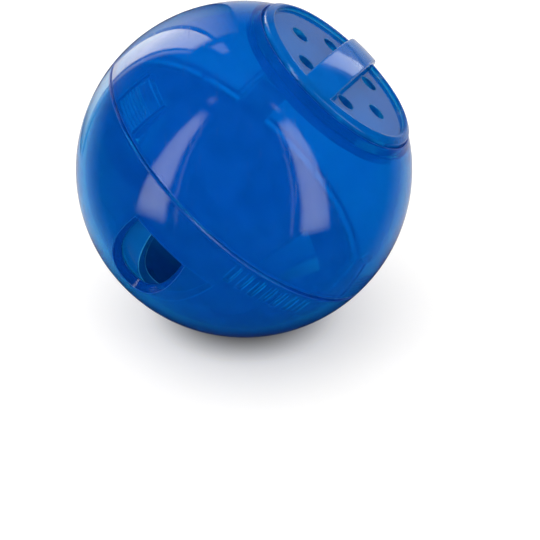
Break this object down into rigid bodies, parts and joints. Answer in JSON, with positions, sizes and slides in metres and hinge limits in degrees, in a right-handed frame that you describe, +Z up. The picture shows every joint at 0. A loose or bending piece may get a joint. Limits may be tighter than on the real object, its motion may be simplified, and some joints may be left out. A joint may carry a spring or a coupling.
{
  "type": "treat ball",
  "caption": "Hollow ball for dry cat food: two half shells twist to open or close its windows, and a vented cap with a strap handle closes the fill port.",
  "frame": {"origin": "the point of the lower shell that touches the floor, straight below the ball's centre", "axes": "+Z up from the floor; the ball's own axis lies in the XZ plane, 40 degrees from +Z towards +X, with the cap at its upper end"},
  "size_m": [0.08, 0.08, 0.0802],
  "materials": {
    "shell_plastic": "polished translucent blue",
    "shutter_plastic": "polished translucent blue",
    "cap_plastic": "polished translucent blue"
  },
  "bodies": {
    "bowl": {"outer_bowl": "shell_plastic"},
    "upper": {"fill_shell": "shell_plastic", "shutter_bowl": "shutter_plastic"},
    "cap": {"fill_cap": "cap_plastic"}
  },
  "joints": [
    {"name": "twist", "type": "hinge", "parent": "bowl", "child": "upper", "pos_m": [0, 0, 0.04], "axis": [0.6428, 0, 0.766], "range_deg": [-10, 17]},
    {"name": "cap_lift", "type": "slide", "parent": "upper", "child": "cap", "axis": [0.6428, 0, 0.766], "range_m": [0, 0.03]}
  ]
}
